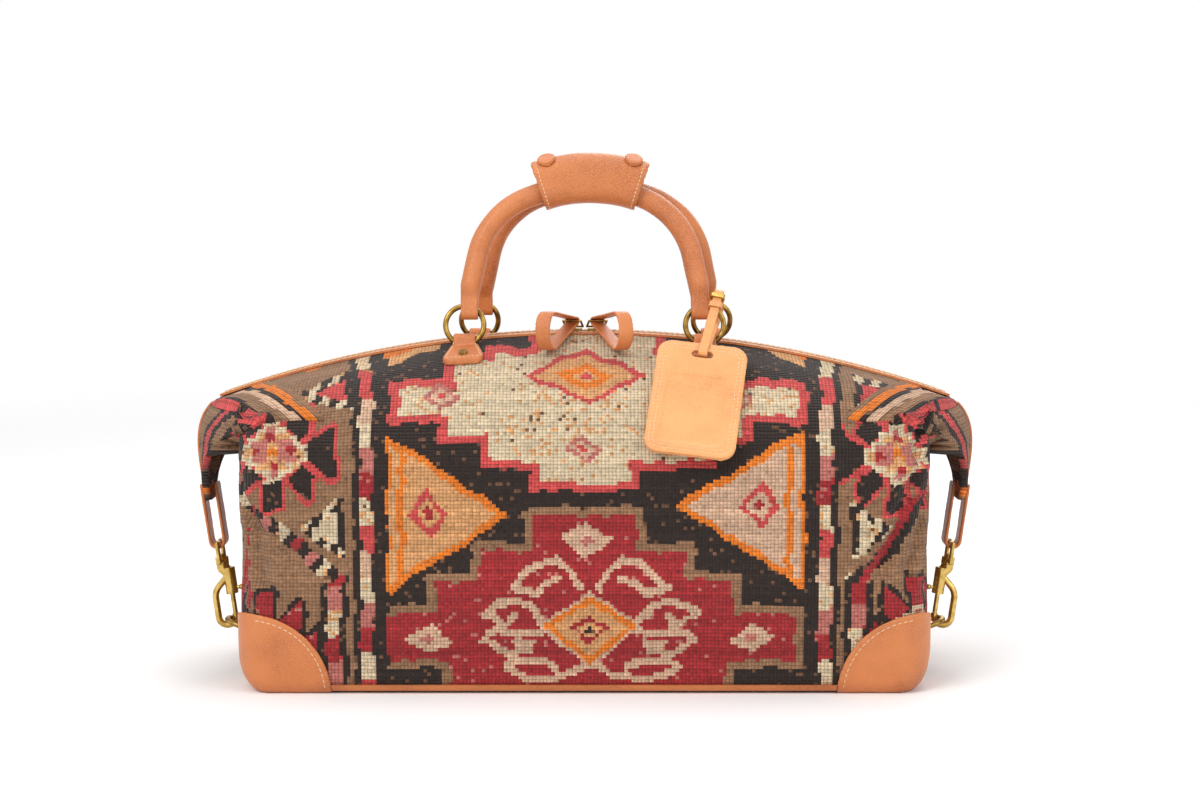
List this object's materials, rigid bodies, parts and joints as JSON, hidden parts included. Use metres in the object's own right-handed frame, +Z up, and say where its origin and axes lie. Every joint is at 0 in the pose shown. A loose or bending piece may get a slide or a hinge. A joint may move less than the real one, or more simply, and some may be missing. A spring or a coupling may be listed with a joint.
{
  "type": "duffle bag",
  "caption": "Weekend duffle bag of woven rug cloth with leather trim, rolled handles joined by a snap wrap, zip top, folded end flaps and snap hooks.",
  "frame": {"origin": "middle of the base panel's underside", "axes": "+X along the zip to the right end, front panel faces -Y, +Z up"},
  "size_m": [0.579, 0.242, 0.385],
  "materials": {
    "rug": "woven wool",
    "base_leather": "matte",
    "board": "matte",
    "lining": "cotton twill",
    "leather": "pebbled, satin",
    "tag_leather": "smooth",
    "tape": "woven tape",
    "zip_brass": "aged",
    "antique_brass": "antique",
    "brass": "polished",
    "spring_steel": "plain"
  },
  "bodies": {
    "bag": {"rug_front_panel": "rug", "rug_back_panel": "rug", "base_panel": "base_leather", "base_board": "board", "lining_front": "lining", "lining_back": "lining", "corner_patch_front_left": "leather", "corner_patch_front_right": "leather", "corner_patch_back_left": "leather", "corner_patch_back_right": "leather", "base_piping": "leather", "zip_teeth_front": "zip_brass", "zip_teeth_back": "zip_brass", "zip_tape_front": "tape", "zip_tape_back": "tape", "zip_binding_front": "leather", "zip_binding_back": "leather", "zip_tail_left": "leather", "zip_tail_right": "leather", "handle_chape_front_left": "leather", "handle_chape_front_right": "leather", "handle_chape_back_left": "leather", "handle_chape_back_right": "leather", "chape_rivets": "antique_brass", "end_tab_left": "leather", "end_tab_right": "leather", "end_ring_tab_left": "leather", "end_ring_tab_right": "leather", "clip_eye_left": "brass", "clip_eye_right": "brass", "end_ring_left": "antique_brass", "end_ring_right": "antique_brass"},
    "front_handle": {"front_handle": "leather", "handle_ring_front_left": "antique_brass", "handle_ring_front_right": "antique_brass"},
    "back_handle": {"back_handle": "leather", "handle_ring_back_left": "antique_brass", "handle_ring_back_right": "antique_brass"},
    "wrap": {"grip_wrap": "leather", "snap_caps": "leather", "snap_studs": "antique_brass"},
    "tag": {"tag_back": "tag_leather", "tag_front": "tag_leather", "tag_strap": "tag_leather", "tag_keeper": "tag_leather", "tag_buckle": "brass"},
    "slider_left": {"zip_slider_left": "zip_brass"},
    "pull_left": {"pull_bail_left": "zip_brass", "pull_loop_left": "leather"},
    "hook_left": {"clip_hook_left": "brass", "clip_spring_left": "spring_steel"},
    "bolt_left": {"clip_bolt_left": "brass"},
    "slider_right": {"zip_slider_right": "zip_brass"},
    "pull_right": {"pull_bail_right": "zip_brass", "pull_loop_right": "leather"},
    "hook_right": {"clip_hook_right": "brass", "clip_spring_right": "spring_steel"},
    "bolt_right": {"clip_bolt_right": "brass"}
  },
  "joints": [
    {"name": "front_handle_swing", "type": "hinge", "parent": "bag", "child": "front_handle", "pos_m": [0, -0.034, 0.2452], "axis": [1, 0, 0], "range_deg": [-5, 5]},
    {"name": "back_handle_swing", "type": "hinge", "parent": "bag", "child": "back_handle", "pos_m": [0.008, 0.034, 0.2452], "axis": [1, 0, 0], "range_deg": [-5, 5]},
    {"name": "wrap_tilt", "type": "hinge", "parent": "front_handle", "child": "wrap", "pos_m": [0.004, -0.01, 0.36], "axis": [1, 0, 0], "range_deg": [-17, 17]},
    {"name": "tag_swing", "type": "hinge", "parent": "bag", "child": "tag", "pos_m": [0.095, -0.03, 0.268], "axis": [0, -0.7848, 0.6198], "range_deg": [-8, 8]},
    {"name": "slider_left_travel", "type": "hinge", "parent": "bag", "child": "slider_left", "pos_m": [0, 0, -0.56439], "axis": [0, 1, 0], "range_deg": [-15, 0], "deforming": ["pull_loop_left"]},
    {"name": "pull_left_lift", "type": "hinge", "parent": "slider_left", "child": "pull_left", "pos_m": [-0.00805, 0, 0.25616], "axis": [-0.951, 0.309, -0.0093], "range_deg": [0, 80]},
    {"name": "hook_left_turn", "type": "hinge", "parent": "bag", "child": "hook_left", "pos_m": [-0.27546, 0, 0.09372], "axis": [-0.1392, 0, 0.9903], "range_deg": [-25, 25]},
    {"name": "bolt_left_slide", "type": "slide", "parent": "hook_left", "child": "bolt_left", "axis": [-0.1392, 0, 0.9903], "range_m": [0, 0.007], "stiffness_N_per_m": 200, "deforming": ["clip_spring_left"]},
    {"name": "slider_right_travel", "type": "hinge", "parent": "bag", "child": "slider_right", "pos_m": [0, 0, -0.56439], "axis": [0, 1, 0], "range_deg": [0, 15], "deforming": ["pull_loop_right"]},
    {"name": "pull_right_lift", "type": "hinge", "parent": "slider_right", "child": "pull_right", "pos_m": [0.00805, 0, 0.25616], "axis": [-0.951, -0.309, 0.0093], "range_deg": [0, 80]},
    {"name": "hook_right_turn", "type": "hinge", "parent": "bag", "child": "hook_right", "pos_m": [0.27546, 0, 0.09372], "axis": [0.1392, 0, 0.9903], "range_deg": [-25, 25]},
    {"name": "bolt_right_slide", "type": "slide", "parent": "hook_right", "child": "bolt_right", "axis": [0.1392, 0, 0.9903], "range_m": [0, 0.007], "stiffness_N_per_m": 200, "deforming": ["clip_spring_right"]}
  ],
  "couplings": [
    {"joint": "back_handle_swing", "follows": "front_handle_swing", "ratio": 1},
    {"joint": "wrap_tilt", "follows": "front_handle_swing", "ratio": -3.4}
  ]
}
